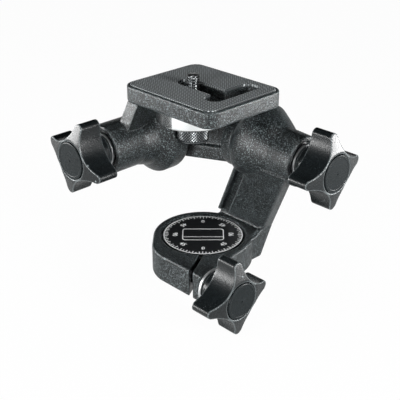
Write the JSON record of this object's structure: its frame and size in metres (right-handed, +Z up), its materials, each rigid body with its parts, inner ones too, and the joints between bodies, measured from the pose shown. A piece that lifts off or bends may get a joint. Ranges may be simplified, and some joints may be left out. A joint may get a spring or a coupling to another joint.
{
  "type": "three way pan tilt head",
  "caption": "Compact three way tripod head: clamped pan base, leaning arm, cranked elbow and side tilting camera platform, each axis locked by a star knob.",
  "frame": {"origin": "on the pan axis, at the underside of the foot, where the tripod's screw enters", "axes": "+Z up along the pan axis and out of the camera platform, +X along the tilt axis towards its knob, -Y along the side tilt axis towards its knob"},
  "size_m": [0.112, 0.0945, 0.106],
  "materials": {
    "casting": "pebbled black powder coat",
    "knob": "fine matt moulded plastic",
    "cap": "satin moulded plastic",
    "steel": "zinc plated and bright",
    "dark_steel": "blued, diamond knurled where it is gripped",
    "aluminium": "turned and polished",
    "liner": "self-lubricating plastic",
    "dial": "black print film with white graduations",
    "pad": "fine ribbed grip facing"
  },
  "bodies": {
    "base": {"base_spindle": "aluminium", "retaining_disc": "dark_steel", "retaining_screw_1": "steel", "retaining_screw_2": "steel", "retaining_screw_3": "steel", "dial_plate": "dial"},
    "arm": {"pan_arm": "casting", "pan_sleeve": "liner", "pan_clamp_nut": "steel", "tilt_sleeve": "liner"},
    "elbow": {"elbow": "casting", "tilt_journal": "aluminium", "roll_journal": "aluminium"},
    "platform": {"platform": "casting", "platform_pad": "pad", "roll_sleeve": "liner"},
    "carriage": {"slot_glide_washer": "liner"},
    "screw": {"camera_screw": "steel", "screw_wheel": "aluminium", "screw_clip": "dark_steel"},
    "ring": {"lock_ring": "dark_steel"},
    "pan_washer": {"pan_thrust_washer": "steel"},
    "pan_knob": {"pan_knob": "knob", "pan_knob_cap": "cap", "pan_knob_stud": "steel"},
    "tilt_washer": {"tilt_thrust_washer": "steel"},
    "tilt_knob": {"tilt_knob": "knob", "tilt_knob_cap": "cap", "tilt_knob_stud": "steel"},
    "roll_washer": {"roll_thrust_washer": "steel"},
    "roll_knob": {"roll_knob": "knob", "roll_knob_cap": "cap", "roll_knob_stud": "steel"}
  },
  "joints": [
    {"name": "pan", "type": "hinge", "parent": "base", "child": "arm", "pos_m": [0, 0, 0.0074], "axis": [0, 0, 1], "continuous": true},
    {"name": "tilt", "type": "hinge", "parent": "arm", "child": "elbow", "pos_m": [0.02, 0.0208, 0.06], "axis": [-1, 0, 0], "range_deg": [-30, 90]},
    {"name": "side_tilt", "type": "hinge", "parent": "elbow", "child": "platform", "pos_m": [-0.0305, -0.01, 0.06], "axis": [0, -1, 0], "range_deg": [0, 90]},
    {"name": "screw_slide", "type": "slide", "parent": "platform", "child": "carriage", "axis": [1, 0, 0], "range_m": [-0.0006, 0.004]},
    {"name": "screw_turn", "type": "hinge", "parent": "carriage", "child": "screw", "pos_m": [-0.0053, -0.0013, 0.0768], "axis": [0, 0, 1], "continuous": true},
    {"name": "ring_turn", "type": "hinge", "parent": "screw", "child": "ring", "pos_m": [-0.0053, -0.0013, 0.0768], "axis": [0, 0, 1], "continuous": true},
    {"name": "pan_unscrew", "type": "slide", "parent": "arm", "child": "pan_washer", "axis": [1, 0, 0], "range_m": [0, 0.0012]},
    {"name": "pan_lock", "type": "hinge", "parent": "pan_washer", "child": "pan_knob", "pos_m": [0, -0.0229, 0.0074], "axis": [1, 0, 0], "range_deg": [0, 359]},
    {"name": "tilt_unscrew", "type": "slide", "parent": "arm", "child": "tilt_washer", "axis": [1, 0, 0], "range_m": [0, 0.0012]},
    {"name": "tilt_lock", "type": "hinge", "parent": "tilt_washer", "child": "tilt_knob", "pos_m": [0.044, 0.0208, 0.06], "axis": [1, 0, 0], "range_deg": [0, 359]},
    {"name": "roll_unscrew", "type": "slide", "parent": "platform", "child": "roll_washer", "axis": [0, -1, 0], "range_m": [0, 0.0012]},
    {"name": "roll_lock", "type": "hinge", "parent": "roll_washer", "child": "roll_knob", "pos_m": [-0.0305, -0.0358, 0.06], "axis": [0, -1, 0], "range_deg": [0, 359]}
  ],
  "couplings": [
    {"joint": "pan_unscrew", "follows": "pan_lock", "m_per_rad": 0.00015915},
    {"joint": "tilt_unscrew", "follows": "tilt_lock", "m_per_rad": 0.00015915},
    {"joint": "roll_unscrew", "follows": "roll_lock", "m_per_rad": 0.00015915}
  ]
}
